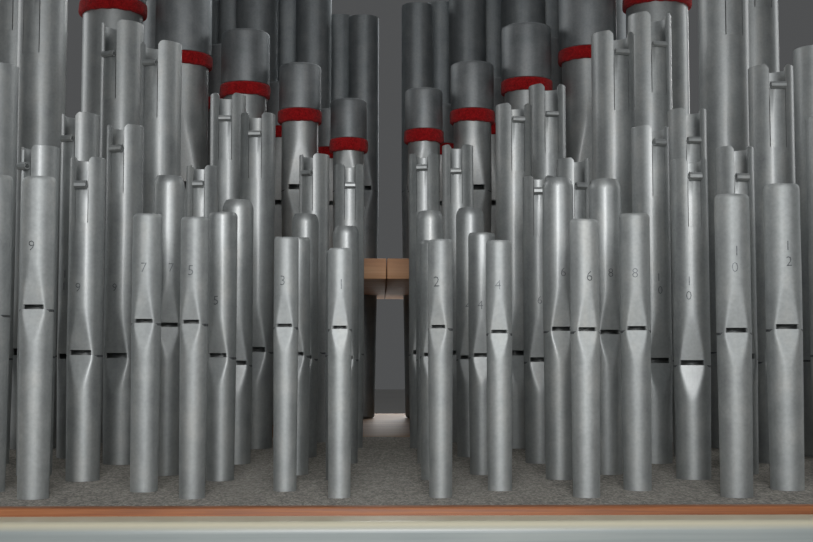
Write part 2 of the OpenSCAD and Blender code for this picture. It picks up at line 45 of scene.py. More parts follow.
# ---- camera, from the photograph's own lines
view = {"lens": 53.14, "sensor": 36, "place": (-0.0036, -0.614, 0.215), "pitch": 3.77, "yaw": -1.27}
cameraData = bpy.data.cameras.new("camera")
cameraData.lens = view["lens"]
cameraData.sensor_width = view["sensor"]
cameraData.clip_start = 0.01
camera = bpy.data.objects.new("camera", cameraData)
camera.location = view["place"]
camera.rotation_euler = (math.radians(90 + view["pitch"]), 0, math.radians(view["yaw"]))
bpy.context.scene.collection.objects.link(camera)
bpy.context.scene.camera = camera

# ---- where the pipes stand, in millimetres, as in the part's source
layout = {
    "frontY": -266, "columns": 8, "firstColumn": 15.2, "columnPitch": 18.9, "widePitch": 21.9,
    "pairPitch": 45.9, "farPairAdd": 4.4, "wideFrom": 4, "farFrom": 6,
    "feltTop": 170, "toeTop": 70, "rearTop": 264, "rearToeTop": 168,
    "sound": 343000, "topHertz": 1568, "halving": 17,
    "openEnd": 1.6667, "stopEnd": 1.2,  # how much shorter than the wave a pipe is, in widths
    "slotAdd": 3,  # a slotted pipe is cut this much over its sounding length
    "rearNote": 6,  # the rear ranks start this many notes further down
}
# Turns and roll heights scatter from pipe to pipe, by steps in degrees that don't repeat soon
scatter = {"turn": 8, "turnStep": 137.5, "turnRow": 71,
           "roll": 0.66, "rollSpread": 0.2, "rollStep": 97, "rollRow": 40}
frontRanks = {
    "twelfth": {"row": 1, "harmonic": 3, "width": 7.4, "y": 25, "stagger": 18, "mouth": 52.5,
                "slotFrom": 99},  # none has a slot
    "octave": {"row": 2, "harmonic": 2, "width": 8.9, "y": 76, "stagger": 18, "mouth": 43,
               "slotFrom": 8},
    "quint": {"row": 3, "harmonic": 1.5, "width": 10.6, "y": 137, "stagger": 29, "mouth": 41.5,
              "slotFrom": 5},
    "principal": {"row": 4, "harmonic": 1, "width": 13.9, "y": 213, "stagger": 38, "mouth": 42.5,
                  "slotFrom": 0},
}
# How far each front pipe is off its rank's rule, note by note, as in the part's source: rise of the
# mouth, length of the top, turn to the right, turn of the slot from the mouth, and step outwards
# from its column; the last two may be left out. For pipes that show, these were read off the
# photograph, many to a few pixels only; from about the eleventh note on they are invented.
trims = {
    "twelfth": [
        (-1.8, 1.8, 2, 0, 0.8), (-1.6, 2.6, -19), (-0.9, 2.5, -5.5), (-2.9, 1.7, -5.5, 0, 1.2),
        (-0.2, 2.4, -10.5), (-2.5, 2.2, 3.5, 0, -0.8), (0.4, 0.4, -3.5, 0, -0.7), (-1.9, 0.8, -5.5),
        (4.2, 0.9, -1, 0, 2.5), (-2.9, 0.5, -4.5), (3, -0.5, -8), (-1.5, -1.1, -5.5), (-2, -1, 4),
        (-0.5, -1.5, -3), (-1.5, -2, -7), (-2.5, -1.5, 5)],
    "octave": [
        (-0.5, -2.2, 3, 0, 3.1), (-1, -0.9, -10.5), (-0.8, -1.2, -4.5), (-1.3, -1.8, -5),
        (-1.3, 0.3, -12, 0, -1.8), (7.9, 0.3, 4.5, 0, -1.3), (9.6, -1.9, 13.5, 0, 1.4), (7, -4, 7.5),
        (-0.5, 0.8, -5.5), (-4.1, 0.3, -14.5, 16.5), (-1, -0.6, -8, -27.5), (-2, -3.7, 3), (-1.5, 0, -6),
        (-0.5, -8, 8), (-2, 0, -12), (-1, -6, 4)],
    "quint": [
        (-1, -0.7, -5, 0, 2.2), (-1, 1.8, -12, 0, 1.4), (-1, 0, -4, 0, 1.6), (-1.2, -1.1, -10, 0, 1),
        (-3.2, -3.8, 6), (-2, -2.8, -5), (-1.5, 0, -5), (-2, -1, 15.5), (-0.5, 0.2, -13),
        (-2.5, -3.3, 14.5), (-1, -1.1, -24, 0, 3.5), (-1.5, -4.1, 4, 0, 1), (-0.5, -1, -22, 0, 2.2),
        (-2, -6, -1), (-1, -2, -10, 0, 8), (-1.5, -7.6, 8, 0, 8.2)],
    "principal": [
        (0, 0, 3.5, 0, 2.8), (-0.3, -0.3, -10, 0, 2), (0.5, -1.1, -24, 0, 2.5), (-0.7, -1.2, -9, 0, 1.4),
        (0.8, -1.2, -4), (-0.8, -1.9, 8, 0, -1.5), (0.7, 1.5, -2.5), (-0.5, 0, 6, 0, 0.9),
        (0.3, 1.5, -19.5), (0, -1.3, 13), (-0.3, 3.4, -26, 0, 4.5), (0.5, -1.6, 13, 0, 4.5),
        (-0.7, -0.6, -12, 0, 5.6), (0.8, -1.5, 10, 0, 3), (-0.8, 0, -15, 0, 7), (0.7, 1.5, 10, 0, 7)],
}
# The same for the length of the rear pipes, note by note
rearTrims = {
    "stopped": [
        -1.7, 0.9, -0.4, -1.1, 2.4, -1, -1.9, -3.7, 0.7, -0.9, -1.5, -3, -3.7, -5.9, -2.5, -4, -1.1, -3],
    "open": [
        5.3, 6.4, -2.1, -1, 0, 0, 0, 0, 0, 0, 0, 0, 0, 0, 0, 0],
}
rearRanks = {
    "stopped": {"row": 5, "count": 9, "width": 18, "add": 3.2, "first": 22, "gap": 4.8, "y": 347,
                "stagger": 75, "mouth": 42.5, "stopped": True, "shift": 0},
    "open": {"row": 6, "count": 8, "width": 21.5, "add": 0, "first": 19, "gap": 11, "y": 488,
             "stagger": 30, "mouth": 61, "stopped": False, "shift": 3.7},
}


def pipeWidth(topWidth, note):
    return topWidth * 2 ** (note / layout["halving"])


def halfWave(harmonic, note):
    return layout["sound"] / (2 * layout["topHertz"] * harmonic) * 2 ** (note / 12)


def mouthTurn(row, note):
    return scatter["turn"] * math.sin(math.radians(scatter["turnStep"] * note + scatter["turnRow"] * row))


def rollDrop(row, note, width):  # how far a rolled tongue lies under the rim
    angle = math.radians(scatter["rollStep"] * note + scatter["rollRow"] * row)
    return width * (scatter["roll"] + scatter["rollSpread"] * math.sin(angle))


def frontPipes(rank, handMade):
    pipes = []
    for side in (-1, 1):
        for k in range(layout["columns"]):
            note = 2 * k + (side + 1) // 2
            width = pipeWidth(rank["width"], note)
            slotted = note >= rank["slotFrom"]
            rising, longer, turn, slotTurn, outwards = (*handMade[note], 0, 0)[:5]
            rise = rank["mouth"] + rising
            sounding = halfWave(rank["harmonic"], note) - layout["openEnd"] * width + longer
            pitch = layout["columnPitch" if k < layout["wideFrom"] else "widePitch"]
            column = layout["firstColumn"] + (k // 2) * layout["pairPitch"] + (k % 2) * pitch + outwards
            if k >= layout["farFrom"]:
                column += layout["farPairAdd"]
            pipes.append({
                "x": side * column, "y": layout["frontY"] + rank["y"] + (k % 2) * rank["stagger"],
                "z": layout["feltTop"] + rise, "width": width,
                "length": sounding + (layout["slotAdd"] if slotted else 0),
                "drop": rollDrop(rank["row"], note, width), "turn": turn, "slotTurn": slotTurn,
                "foot": layout["feltTop"] + rise - layout["toeTop"],
                "slotted": slotted, "coned": not slotted, "note": note, "row": rank["row"],
            })
    return pipes


def lineX(rank, i):
    x = rank["first"]
    for n in range(1, i + 1):
        x += rank["gap"] + rank["add"]
        x += (pipeWidth(rank["width"], 4 * n - 3) + pipeWidth(rank["width"], 4 * n + 1)) / 2
    return x


def rearPipes(rank, handMade):
    pipes = []
    for side in (-1, 1):
        for j in range(rank["count"]):
            note = 2 * j + (side + 1) // 2
            width = pipeWidth(rank["width"], note)
            wave = halfWave(1, layout["rearNote"] + note)
            shorter = layout["stopEnd" if rank["stopped"] else "openEnd"] * width
            rule = (wave / 2 if rank["stopped"] else wave) - shorter
            pipes.append({
                "x": side * (lineX(rank, j // 2) + lineX(rank, (j + 1) // 2)) / 2 + rank["shift"],
                "y": layout["frontY"] + rank["y"] + (j % 2) * rank["stagger"],
                "z": layout["rearTop"] + rank["mouth"], "width": width,
                "length": rule + handMade[note], "turn": mouthTurn(rank["row"], 2 * j + side),
                "foot": layout["rearTop"] + rank["mouth"] - layout["rearToeTop"],
                "slotted": False, "coned": False, "note": note + layout["rearNote"],
                "row": rank["row"],
            })
    return pipes


# ---- material helpers
def linear(code):  # sRGB hex to linear
    parts = [int(code[i:i + 2], 16) / 255 for i in (0, 2, 4)]
    return [c / 12.92 if c <= 0.04045 else ((c + 0.055) / 1.055) ** 2.4 for c in parts] + [1]


def addNode(tree, kind, inputs=None, **settings):
    node = tree.nodes.new(kind)
    for name, value in settings.items():
        setattr(node, name, value)
    for socket, value in (inputs or {}).items():
        if isinstance(value, bpy.types.NodeSocket):
            tree.links.new(value, node.inputs[socket])
        else:
            node.inputs[socket].default_value = value
    return node


def newMaterial(name):
    material = bpy.data.materials.new(name)
    material.use_nodes = True
    tree = material.node_tree
    tree.nodes.clear()
    shader = addNode(tree, "ShaderNodeBsdfPrincipled")
    output = addNode(tree, "ShaderNodeOutputMaterial")
    tree.links.new(shader.outputs["BSDF"], output.inputs["Surface"])
    return material, tree, shader


def rampColour(tree, factor, look, places):  # the look's tones from dark to light at these places
    codes = [look[tone] for tone in ("dark", "mid", "light") if tone in look]
    node = addNode(tree, "ShaderNodeValToRGB", {"Fac": factor})
    elements = node.color_ramp.elements
    while len(elements) < len(codes):
        elements.new(0.5)
    for element, place, code in zip(elements, places, codes):
        element.position = place
        element.color = linear(code)
    return node.outputs["Color"]


def bumpSurface(tree, shader, height, strength, distance):
    bump = addNode(tree, "ShaderNodeBump", {"Height": height, "Strength": strength, "Distance": distance})
    tree.links.new(bump.outputs[0], shader.inputs["Normal"])


# Planed tin and lead sheet: a soft, nearly matt metal with a cloudy oxide bloom, faint marks of
# the plane along the pipe about 0.5 mm apart, and shallow dents about 15 mm across. Hands and
# cloths leave a thin gloss over it, which draws the narrow bright line down each pipe; the
# smallest pipes, tuned most often, have lost it.
pipeLooks = {
    "pipeMetal": {"dark": "a4a8a9", "mid": "b3b7b7", "light": "c1c3c1", "rough": (0.56, 0.64),
                  "marks": 0.06, "gloss": 0.5, "glossRough": 0.24, "metal": 0.93},
    "dullMetal": {"dark": "a8acad", "mid": "b8bcbc", "light": "c6c8c6", "rough": (0.64, 0.71),
                  "marks": 0.05, "gloss": 0.06, "glossRough": 0.35, "metal": 0.87},
    "capMetal": {"dark": "83888a", "mid": "94989a", "light": "a2a5a6", "rough": (0.56, 0.64),
                 "marks": 0.04, "gloss": 0.1, "glossRough": 0.3, "metal": 0.9},
    "leadMetal": {"dark": "82878a", "mid": "909597", "light": "9da1a2", "rough": (0.56, 0.64),
                  "marks": 0.05, "gloss": 0.08, "glossRough": 0.35, "metal": 0.9},
}
# Bloom is about 9 mm across, specks 1 mm and dents 15 mm; marks and wipes are (round, along)
metalScale = {"bloom": 110, "planeMarks": (2000, 35, 1), "wipes": (260, 14, 1), "specks": 900,
              "dents": 65}
oxideEdge = "a8adaf"  # it darkens the pipes' edges


def planedMetal(name, look):
    material, tree, shader = newMaterial(name)
    place = addNode(tree, "ShaderNodeTexCoord").outputs["Object"]
    along = addNode(tree, "ShaderNodeUVMap", uv_map="pipeWrap").outputs["UV"]
    tone = addNode(tree, "ShaderNodeAttribute", attribute_name="tone").outputs["Fac"]
    bloom = addNode(tree, "ShaderNodeTexNoise", {"Vector": place, "Scale": metalScale["bloom"],
                                                 "Detail": 5, "Roughness": 0.6})
    long = addNode(tree, "ShaderNodeMapping", {"Vector": along, "Scale": metalScale["planeMarks"]})
    marks = addNode(tree, "ShaderNodeTexNoise", {"Vector": long.outputs[0], "Scale": 1, "Detail": 3})
    specks = addNode(tree, "ShaderNodeTexNoise", {"Vector": place, "Scale": metalScale["specks"],
                                                  "Detail": 2})
    streaks = addNode(tree, "ShaderNodeMapping", {"Vector": along, "Scale": metalScale["wipes"]})
    wiped = addNode(tree, "ShaderNodeTexNoise", {"Vector": streaks.outputs[0], "Scale": 1, "Detail": 4})
    cloud = addNode(tree, "ShaderNodeMix", {"Factor": 0.4, "A": bloom.outputs["Fac"],
                                            "B": wiped.outputs["Fac"]})
    colour = rampColour(tree, cloud.outputs[0], look, (0.34, 0.5, 0.66))
    fleck = addNode(tree, "ShaderNodeMapRange", {"Value": specks.outputs["Fac"], "From Min": 0.3,
                                                 "From Max": 0.62, "To Min": 0.93, "To Max": 1.02})
    shade = addNode(tree, "ShaderNodeMath", {0: fleck.outputs[0], 1: tone}, operation="MULTIPLY")
    toned = addNode(tree, "ShaderNodeVectorMath", {0: colour, "Scale": shade.outputs[0]},
                    operation="SCALE")
    tree.links.new(toned.outputs[0], shader.inputs["Base Color"])
    rough = addNode(tree, "ShaderNodeMapRange", {"Value": cloud.outputs[0], "From Min": 0.35,
                                                 "From Max": 0.65, "To Min": look["rough"][0],
                                                 "To Max": look["rough"][1]})
    tree.links.new(rough.outputs[0], shader.inputs["Roughness"])
    dents = addNode(tree, "ShaderNodeTexNoise", {"Vector": place, "Scale": metalScale["dents"],
                                                 "Detail": 1})
    pressed = addNode(tree, "ShaderNodeBump", {"Height": dents.outputs["Fac"], "Strength": 0.4,
                                               "Distance": 0.0005})
    grain = addNode(tree, "ShaderNodeBump", {"Height": marks.outputs["Fac"], "Strength": look["marks"],
                                             "Distance": 0.0002, "Normal": pressed.outputs[0]})
    tree.links.new(grain.outputs[0], shader.inputs["Normal"])
    shader.inputs["Metallic"].default_value = look["metal"]
    shader.inputs["Specular Tint"].default_value = linear(oxideEdge)
    shader.inputs["Coat Weight"].default_value = look["gloss"]
    shader.inputs["Coat Roughness"].default_value = look["glossRough"]
    return material


pipeMetal = planedMetal("planedPipeMetal", pipeLooks["pipeMetal"])
dullMetal = planedMetal("handledPipeMetal", pipeLooks["dullMetal"])
capMetal = planedMetal("drawnCapMetal", pipeLooks["capMetal"])
leadMetal = planedMetal("leadRichPipeMetal", pipeLooks["leadMetal"])  # the tallest rank, darker


# Soldered edges and languids: the same metal as it comes from the iron, duller and finely pitted
# (pits about 1.4 mm apart).
solderLook = {"dark": "65686a", "light": "7e8182", "pits": 700, "rough": 0.7}


def solderedMetal():
    material, tree, shader = newMaterial("solderedMetal")
    place = addNode(tree, "ShaderNodeTexCoord").outputs["Object"]
    pits = addNode(tree, "ShaderNodeTexNoise", {"Vector": place, "Scale": solderLook["pits"],
                                                "Detail": 4})
    colour = rampColour(tree, pits.outputs["Fac"], solderLook, (0.35, 0.65))
    tree.links.new(colour, shader.inputs["Base Color"])
    bumpSurface(tree, shader, pits.outputs["Fac"], 0.3, 0.0002)
    shader.inputs["Metallic"].default_value = 1
    shader.inputs["Roughness"].default_value = solderLook["rough"]
    return material


seamMetal = solderedMetal()


# Stamped numbers: dents with tarnish in them, so the strokes look a little darker than the pipe.
strokeLook = {"dark": "5f6365", "light": "7c8082", "wear": 1500, "rough": 0.55}


def tarnishedStroke():
    material, tree, shader = newMaterial("tarnishedStroke")
    place = addNode(tree, "ShaderNodeTexCoord").outputs["Object"]
    wear = addNode(tree, "ShaderNodeTexNoise", {"Vector": place, "Scale": strokeLook["wear"],
                                                "Detail": 2})
    colour = rampColour(tree, wear.outputs["Fac"], strokeLook, (0.35, 0.65))
    tree.links.new(colour, shader.inputs["Base Color"])
    shader.inputs["Metallic"].default_value = 1
    shader.inputs["Roughness"].default_value = strokeLook["rough"]
    return material


strokeMetal = tarnishedStroke()

# Pressed wool felt: matt, with tufts of matted fibres about 0.9 mm apart and lumps of nap a few mm
# wide. The tufts lie along Y.
feltLooks = {
    "greyFelt": {"dark": "4f4b43", "mid": "7c776c", "light": "a59f92", "sheen": 0.15, "nap": 0.9},
    "redFelt": {"dark": "7c0a0d", "mid": "9c0f13", "light": "b4191d", "sheen": 0.08, "nap": 0.7},
}
feltScale = {"lie": (1, 0.45, 1), "lumps": 420, "fibres": 1100, "bend": 0.0022}


def woolFelt(name, look):
    material, tree, shader = newMaterial(name)
    place = addNode(tree, "ShaderNodeTexCoord").outputs["Object"]
    lying = addNode(tree, "ShaderNodeMapping", {"Vector": place, "Scale": feltScale["lie"]}).outputs[0]
    bend = addNode(tree, "ShaderNodeTexNoise", {"Vector": lying, "Scale": feltScale["lumps"],
                                                "Detail": 3})
    bent = addNode(tree, "ShaderNodeVectorMath", {0: bend.outputs["Color"], "Scale": feltScale["bend"]},
                   operation="SCALE")
    warped = addNode(tree, "ShaderNodeVectorMath", {0: lying, 1: bent.outputs[0]}, operation="ADD")
    fibre = addNode(tree, "ShaderNodeTexNoise", {"Vector": warped.outputs[0],
                                                 "Scale": feltScale["fibres"], "Detail": 4,
                                                 "Roughness": 0.7})
    lumps = addNode(tree, "ShaderNodeTexNoise", {"Vector": lying, "Scale": feltScale["lumps"],
                                                 "Detail": 4})
    both = addNode(tree, "ShaderNodeMix", {"Factor": 0.25, "A": fibre.outputs["Fac"],
                                           "B": lumps.outputs["Fac"]})
    colour = rampColour(tree, both.outputs[0], look, (0.4, 0.5, 0.6))
    tree.links.new(colour, shader.inputs["Base Color"])
    bumpSurface(tree, shader, both.outputs[0], look["nap"], 0.0008)
    shader.inputs["Roughness"].default_value = 0.95
    shader.inputs["Specular IOR Level"].default_value = 0.2
    shader.inputs["Sheen Weight"].default_value = look["sheen"]
    shader.inputs["Sheen Roughness"].default_value = 0.6
    return material


greyFelt = woolFelt("greyWoolFelt", feltLooks["greyFelt"])
redFelt = woolFelt("redWoolFelt", feltLooks["redFelt"])

# Planed boards: growth lines run along the board, some mm apart, with finer pores between them.
woodLooks = {
    "rackPine": {"dark": "a77755", "mid": "c5936b", "light": "d8ac85",
                 "line": 5, "pore": 0.5, "rough": 0.5},
    "lippingWood": {"dark": "804c30", "mid": "a5673f", "light": "bf8257",
                    "line": 3, "pore": 0.4, "rough": 0.5},
    "toeOak": {"dark": "7d5c3c", "mid": "9c7850", "light": "b39066",
               "line": 6, "pore": 0.7, "rough": 0.55},
    "chestPine": {"dark": "a37b4d", "mid": "c49b69", "light": "d7b284",
                  "line": 8, "pore": 0.6, "rough": 0.45},
    "postBeech": {"dark": "a57f58", "mid": "bf9a71", "light": "cfae87",
                  "line": 3, "pore": 0.4, "rough": 0.45},
}
grainRun = {"line": 30, "pore": 40}  # how many times longer than wide they are


def planedWood(name, look, upright=False):  # on the ends of a board the grain turns along Y
    material, tree, shader = newMaterial(name)
    where = addNode(tree, "ShaderNodeTexCoord")
    facing = addNode(tree, "ShaderNodeSeparateXYZ", {"Vector": where.outputs["Normal"]})
    sideways = addNode(tree, "ShaderNodeMath", {0: facing.outputs["X"]}, operation="ABSOLUTE")
    onEnd = addNode(tree, "ShaderNodeMath", {0: sideways.outputs[0], 1: 0.71}, operation="GREATER_THAN")
    turned = addNode(tree, "ShaderNodeVectorRotate", {"Vector": where.outputs["Object"],
                                                      "Angle": math.pi / 2}, rotation_type="Z_AXIS")
    picked = addNode(tree, "ShaderNodeMix", {0: onEnd.outputs[0]}, data_type="VECTOR")
    tree.links.new(where.outputs["Object"], picked.inputs[4])
    tree.links.new(turned.outputs[0], picked.inputs[5])
    place = picked.outputs[1]
    wide, fine = 1 / (look["line"] * mm), 1 / (look["pore"] * mm)
    low, thin = wide / grainRun["line"], fine / grainRun["pore"]
    lineScale = (wide, wide, low) if upright else (low, wide, wide)
    poreScale = (fine, fine, thin) if upright else (thin, fine, fine)
    lines = addNode(tree, "ShaderNodeMapping", {"Vector": place, "Scale": lineScale})
    figure = addNode(tree, "ShaderNodeTexNoise", {"Vector": lines.outputs[0], "Scale": 0.5, "Detail": 4,
                                                  "Distortion": 0.6})
    close = addNode(tree, "ShaderNodeMapping", {"Vector": place, "Scale": poreScale})
    pores = addNode(tree, "ShaderNodeTexNoise", {"Vector": close.outputs[0], "Scale": 0.6, "Detail": 3})
    both = addNode(tree, "ShaderNodeMix", {"Factor": 0.45, "A": figure.outputs["Fac"],
                                           "B": pores.outputs["Fac"]})
    colour = rampColour(tree, both.outputs[0], look, (0.32, 0.5, 0.68))
    tree.links.new(colour, shader.inputs["Base Color"])
    rough = addNode(tree, "ShaderNodeMapRange", {"Value": pores.outputs["Fac"],
                                                 "To Min": look["rough"] - 0.1,
                                                 "To Max": look["rough"] + 0.15})
    tree.links.new(rough.outputs[0], shader.inputs["Roughness"])
    bumpSurface(tree, shader, pores.outputs["Fac"], 0.25, 0.0003)
    return material


rackPine = planedWood("planedPine", woodLooks["rackPine"])
lippingWood = planedWood("oiledHardwood", woodLooks["lippingWood"])
toeOak = planedWood("planedOak", woodLooks["toeOak"])
chestPine = planedWood("varnishedPine", woodLooks["chestPine"])
postBeech = planedWood("turnedBeech", woodLooks["postBeech"], upright=True)


# Brushed oil paint on wood: pale and glossy, with brush lines about 1 mm apart. Where the rounded upper
# edge turns up, a painted warm highlight is mixed into the colour.
railLook = {"dark": "9da6a6", "mid": "a8b0af", "light": "b2b9b6", "paintedHighlight": "ddd7be",
            "highlightFrom": 0.2, "highlightTo": 0.75, "strokes": (12, 900, 900), "cloud": 28,
            "rough": (0.26, 0.42)}


def glossPaint():
    material, tree, shader = newMaterial("glossPaint")
    where = addNode(tree, "ShaderNodeTexCoord")
    place = where.outputs["Object"]
    strokes = addNode(tree, "ShaderNodeMapping", {"Vector": place, "Scale": railLook["strokes"]})
    brushed = addNode(tree, "ShaderNodeTexNoise", {"Vector": strokes.outputs[0], "Scale": 1, "Detail": 3})
    cloud = addNode(tree, "ShaderNodeTexNoise", {"Vector": place, "Scale": railLook["cloud"],
                                                 "Detail": 4})
    both = addNode(tree, "ShaderNodeMix", {"Factor": 0.6, "A": cloud.outputs["Fac"],
                                           "B": brushed.outputs["Fac"]})
    colour = rampColour(tree, both.outputs[0], railLook, (0.3, 0.5, 0.7))
    # painted highlight: the more a face turns up, the more its colour goes to a pale cream
    facing = addNode(tree, "ShaderNodeSeparateXYZ", {"Vector": where.outputs["Normal"]})
    upper = addNode(tree, "ShaderNodeMapRange", {"Value": facing.outputs["Z"],
                                                 "From Min": railLook["highlightFrom"],
                                                 "From Max": railLook["highlightTo"]})
    paintedHighlight = addNode(tree, "ShaderNodeMix", {0: upper.outputs[0]}, data_type="RGBA")
    tree.links.new(colour, paintedHighlight.inputs[6])
    paintedHighlight.inputs[7].default_value = linear(railLook["paintedHighlight"])
    tree.links.new(paintedHighlight.outputs[2], shader.inputs["Base Color"])
    rough = addNode(tree, "ShaderNodeMapRange", {"Value": both.outputs[0], "To Min": railLook["rough"][0],
                                                 "To Max": railLook["rough"][1]})
    tree.links.new(rough.outputs[0], shader.inputs["Roughness"])
    bumpSurface(tree, shader, brushed.outputs["Fac"], 0.12, 0.0003)
    shader.inputs["IOR"].default_value = 1.5
    return material


railPaint = glossPaint()
print("organ: materials made")

# ---- mesh helpers
wall = {"frontHalf": 49.5, "frontSteps": 18, "backSteps": 20, "metal": 0.7, "languid": 0.8}


def meshOf(name, bm):
    mesh = bpy.data.meshes.new(name)
    bm.to_mesh(mesh)
    bm.free()
    return mesh


def finishPiece(name, bm, material, nodes, sharpAngle=32):
    for edge in bm.edges:
        edge.smooth = not (edge.is_manifold and edge.calc_face_angle(0) > math.radians(sharpAngle))
    for face in bm.faces:
        face.smooth = True
    mesh = meshOf(name, bm)
    mesh.materials.append(material)
    piece = bpy.data.objects.new(name, mesh)
    bpy.context.scene.collection.objects.link(piece)
    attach(piece, "root")
    if nodes:
        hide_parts(*nodes)


def spinWall(points):  # points run along the wall as (radius, height); the front has the closer steps
    bm = bmesh.new()
    start = Matrix.Rotation(math.radians(-wall["frontHalf"]), 3, "Z")
    verts = [bm.verts.new(start @ Vector((0, -r * mm, z * mm))) for r, z in points]
    geom = verts + [bm.edges.new(pair) for pair in zip(verts, verts[1:])]
    arcs = ((2 * wall["frontHalf"], wall["frontSteps"]), (360 - 2 * wall["frontHalf"], wall["backSteps"]))
    for angle, steps in arcs:
        geom = bmesh.ops.spin(bm, geom=geom, cent=(0, 0, 0), axis=(0, 0, 1), angle=math.radians(angle),
                              steps=steps, use_merge=False)["geom_last"]
    bmesh.ops.remove_doubles(bm, verts=bm.verts, dist=0.002 * mm)
    bmesh.ops.recalc_face_normals(bm, faces=bm.faces)
    return bm


def ringWall(points, steps):  # a closed outline turned round the axis
    bm = bmesh.new()
    verts = [bm.verts.new((0, -r * mm, z * mm)) for r, z in points]
    pairs = list(zip(verts, verts[1:] + verts[:1]))
    edges = [bm.edges.new(pair) for pair in pairs]
    bmesh.ops.spin(bm, geom=verts + edges, cent=(0, 0, 0), axis=(0, 0, 1), angle=2 * math.pi, steps=steps,
                   use_merge=True)
    bmesh.ops.remove_doubles(bm, verts=bm.verts, dist=0.002 * mm)
    bmesh.ops.recalc_face_normals(bm, faces=bm.faces)
    return bm


def frontAngle(point):
    return math.degrees(math.atan2(point.x, -point.y))


def softMax(a, b, soft):
    h = max(soft - abs(a - b), 0) / soft
    return max(a, b) + h * h * soft / 4


# A lip is pressed in most at the mouth and dies away along the pipe, so its creases run to a point
lips = {"share": 0.69, "upper": 1.4, "lower": 1, "upperFade": 1.15, "lowerFade": 1.3, "crease": 0.025,
        "spread": 0.012}


def pressLip(bm, width, height, fade, up):
    radius = width / 2 * mm
    depth = radius * (1 - math.sqrt(1 - lips["share"] ** 2))
    for vert in bm.verts:
        z = vert.co.z if up else -vert.co.z
        t = min(max(z / (height * mm), 0), 1)
        press = depth * (1 - t) ** fade
        if vert.co.y < 0:  # the metal pushed back goes out a little to the sides
            vert.co.x *= 1 + lips["spread"] * (1 - t) ** 2 * min(1, -vert.co.y / radius * 2)
            vert.co.y = softMax(vert.co.y, press - radius, lips["crease"] * width * mm)


def giveWall(bm, thickness):
    bmesh.ops.solidify(bm, geom=bm.faces, thickness=thickness * mm)
    bmesh.ops.recalc_face_normals(bm, faces=bm.faces)


def softenRim(bm, height, width):
    rims = [e for e in bm.edges if e.is_manifold and e.calc_face_angle(0) > 1
            and any(abs(v.co.z - height * mm) < 0.02 * mm for v in e.verts)
            and abs(e.verts[0].co.z - e.verts[1].co.z) < 0.02 * mm]
    bmesh.ops.bevel(bm, geom=rims, offset=width * mm, offset_type="OFFSET", segments=1, profile=0.5,
                    affect="EDGES", material=-1)


# Sheet metal is never quite round: (mm off, waves in a metre)
uneven = {"pipe": (0.07, 55), "cap": (0.1, 40)}


def wobble(bm, seed, amount, reach):
    for vert in bm.verts:
        flat = Vector((vert.co.x, vert.co.y, 0))
        if flat.length > 0:
            push = noise.noise(vert.co * reach + Vector((seed * 7.3, seed * 3.1, seed * 1.7)))
            vert.co += flat.normalized() * push * amount * mm


wrapShape = {"noteShift": 0.37, "rowShift": 5.1, "tone": 0.07, "noteTone": 2.3, "rowTone": 1.9}


def wrapPipe(bm, pipe):  # UV in metres round and along the pipe, and one tone for each pipe
    wrap = bm.loops.layers.uv.new("pipeWrap")
    tone = bm.verts.layers.float.new("tone")
    radius = pipe["width"] / 2 * mm
    offset = pipe["note"] * wrapShape["noteShift"] + pipe["row"] * wrapShape["rowShift"]
    swing = math.sin(pipe["note"] * wrapShape["noteTone"] + pipe["row"] * wrapShape["rowTone"])
    shade = 1 + wrapShape["tone"] * swing
    for vert in bm.verts:
        vert[tone] = shade
    for face in bm.faces:
        middle = frontAngle(face.calc_center_median())
        for loop in face.loops:
            angle = frontAngle(loop.vert.co)
            if abs(angle - middle) > 180:
                angle += math.copysign(360, middle)
            loop[wrap].uv = (math.radians(angle) * radius + offset, loop.vert.co.z + offset)


def standPipe(bm, pipe, target, lift=0):
    place = Matrix.Translation((pipe["x"] * mm, pipe["y"] * mm, (pipe["z"] + lift) * mm))
    turned = place @ Matrix.Rotation(math.radians(pipe["turn"]), 4, "Z")
    bmesh.ops.transform(bm, matrix=turned, verts=bm.verts)
    mesh = meshOf("part", bm)
    target.from_mesh(mesh)
    bpy.data.meshes.remove(mesh)


# ---- pipe feet
feet = {"toe": 0.76, "tip": 0.5, "seat": 0.8}


def makeFoot(pipe):
    radius = pipe["width"] / 2
    toe = radius * feet["toe"]
    down = pipe["foot"] + toe * (feet["seat"] - feet["tip"])
    tipHeight = toe * (1 - feet["tip"])
    lipHeight = pipe["width"] * lips["lower"]
    straight = down - tipHeight
    heights = [lipHeight * t for t in (0, 0.07, 0.15, 0.24, 0.34, 0.45, 0.56, 0.68, 0.8, 0.92, 1.05)]
    heights += [lipHeight + (straight - lipHeight) * t for t in (0.25, 0.5, 0.75, 0.97)]
    points = [(radius - (radius - toe) * h / down, -h) for h in heights]
    # the toe rounds in to its tip
    points += [(toe * 0.985, -straight - 0.02 * toe), (toe * 0.93, -straight - tipHeight * 0.18),
               (toe * feet["tip"], -down)]
    bm = spinWall(points)
    pressLip(bm, pipe["width"], lipHeight, lips["lowerFade"], up=False)
    # the lower lip stands level with the languid, and meets the body beside the mouth
    for vert in bm.verts:
        if vert.co.z > -0.01 * mm and abs(frontAngle(vert.co)) < wall["frontHalf"] + 1:
            vert.co.z += wall["languid"] * mm
    wobble(bm, pipe["note"] + pipe["row"] * 31, *uneven["pipe"])
    giveWall(bm, wall["metal"])
    wrapPipe(bm, pipe)
    return bm


# ---- pipe bodies, with mouth, tuning slot or coned top
tops = {"cutUp": 0.14, "slotHeight": 1.9, "slotHalf": 22, "mouthHalf": 38.5, "corner": 0.1,
        "cornerReach": 13, "rimSoft": 0.12, "knock": 0.25, "knockWaves": 140}
# Most tops are only touched by the tuning cone; the quint's and three octave pipes are well drawn in
cones = {"touched": {"share": 0.89, "height": 0.16, "power": 2.4},
         "drawn": {"share": 0.78, "height": 0.32, "power": 1.9}}


